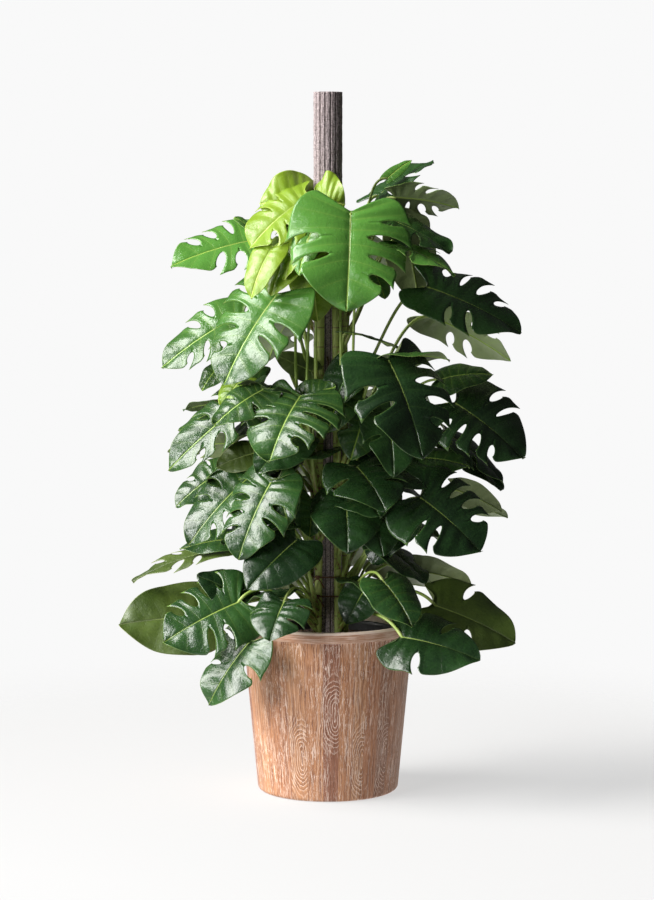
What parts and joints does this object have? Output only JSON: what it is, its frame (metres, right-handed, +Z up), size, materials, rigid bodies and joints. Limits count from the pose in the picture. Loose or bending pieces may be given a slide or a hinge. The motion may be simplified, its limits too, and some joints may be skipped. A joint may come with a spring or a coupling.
{
  "type": "potted monstera plant",
  "caption": "Climbing monstera on a tall ribbed fibre pole, with large split leaves, in a tapered whitewashed teak planter.",
  "frame": {"origin": "on the floor under the middle of the planter's flat base", "axes": "+Z up along the support pole, -Y towards the plant's front, +X to its right"},
  "size_m": [0.8911, 0.6953, 1.525],
  "materials": {
    "teak": "whitewashed teak, brushed vertical grain",
    "black_plastic": "moulded, satin",
    "soil": "loose dark potting mix",
    "pole_fibre": "coarse pressed coir, ribbed lengthwise",
    "stem": "green-brown stem with leaf scars",
    "twine": "two-ply natural twine",
    "air_root": "dry corky root",
    "green_leaf": "waxy semi-gloss leaf",
    "dark_leaf": "waxy semi-gloss mature leaf",
    "olive_leaf": "matt olive leaf, light showing through",
    "young_leaf": "waxy gloss young lime leaf"
  },
  "bodies": {
    "root": {"planter": "teak", "nursery_pot": "black_plastic", "potting_soil": "soil", "support_pole": "pole_fibre", "stem_1": "stem", "stem_2": "stem", "stem_3": "stem", "stem_4": "stem", "twine_tie_1": "twine", "twine_tie_2": "twine", "twine_tie_3": "twine", "aerial_root_1": "air_root", "aerial_root_2": "air_root", "leaf_01": "young_leaf", "leaf_02": "young_leaf", "leaf_03": "green_leaf", "leaf_04": "dark_leaf", "leaf_05": "green_leaf", "leaf_06": "dark_leaf", "leaf_07": "green_leaf", "leaf_08": "olive_leaf", "leaf_09": "dark_leaf", "leaf_10": "green_leaf", "leaf_11": "dark_leaf", "leaf_12": "dark_leaf", "leaf_13": "dark_leaf", "leaf_14": "green_leaf", "leaf_15": "dark_leaf", "leaf_16": "green_leaf", "leaf_17": "olive_leaf", "leaf_18": "olive_leaf", "leaf_19": "dark_leaf", "leaf_20": "green_leaf", "leaf_21": "dark_leaf", "leaf_22": "dark_leaf", "leaf_23": "green_leaf", "leaf_24": "dark_leaf", "leaf_25": "dark_leaf", "leaf_26": "green_leaf", "leaf_27": "green_leaf", "leaf_28": "green_leaf", "leaf_29": "green_leaf", "leaf_30": "green_leaf", "leaf_31": "green_leaf", "leaf_32": "green_leaf", "leaf_33": "green_leaf", "leaf_34": "olive_leaf", "leaf_35": "green_leaf", "leaf_36": "olive_leaf", "leaf_37": "olive_leaf", "leaf_38": "green_leaf", "leaf_39": "dark_leaf", "leaf_40": "green_leaf", "leaf_41": "dark_leaf", "leaf_42": "dark_leaf", "leaf_43": "green_leaf", "leaf_44": "green_leaf", "leaf_45": "dark_leaf", "leaf_46": "green_leaf"}
  },
  "joints": []
}
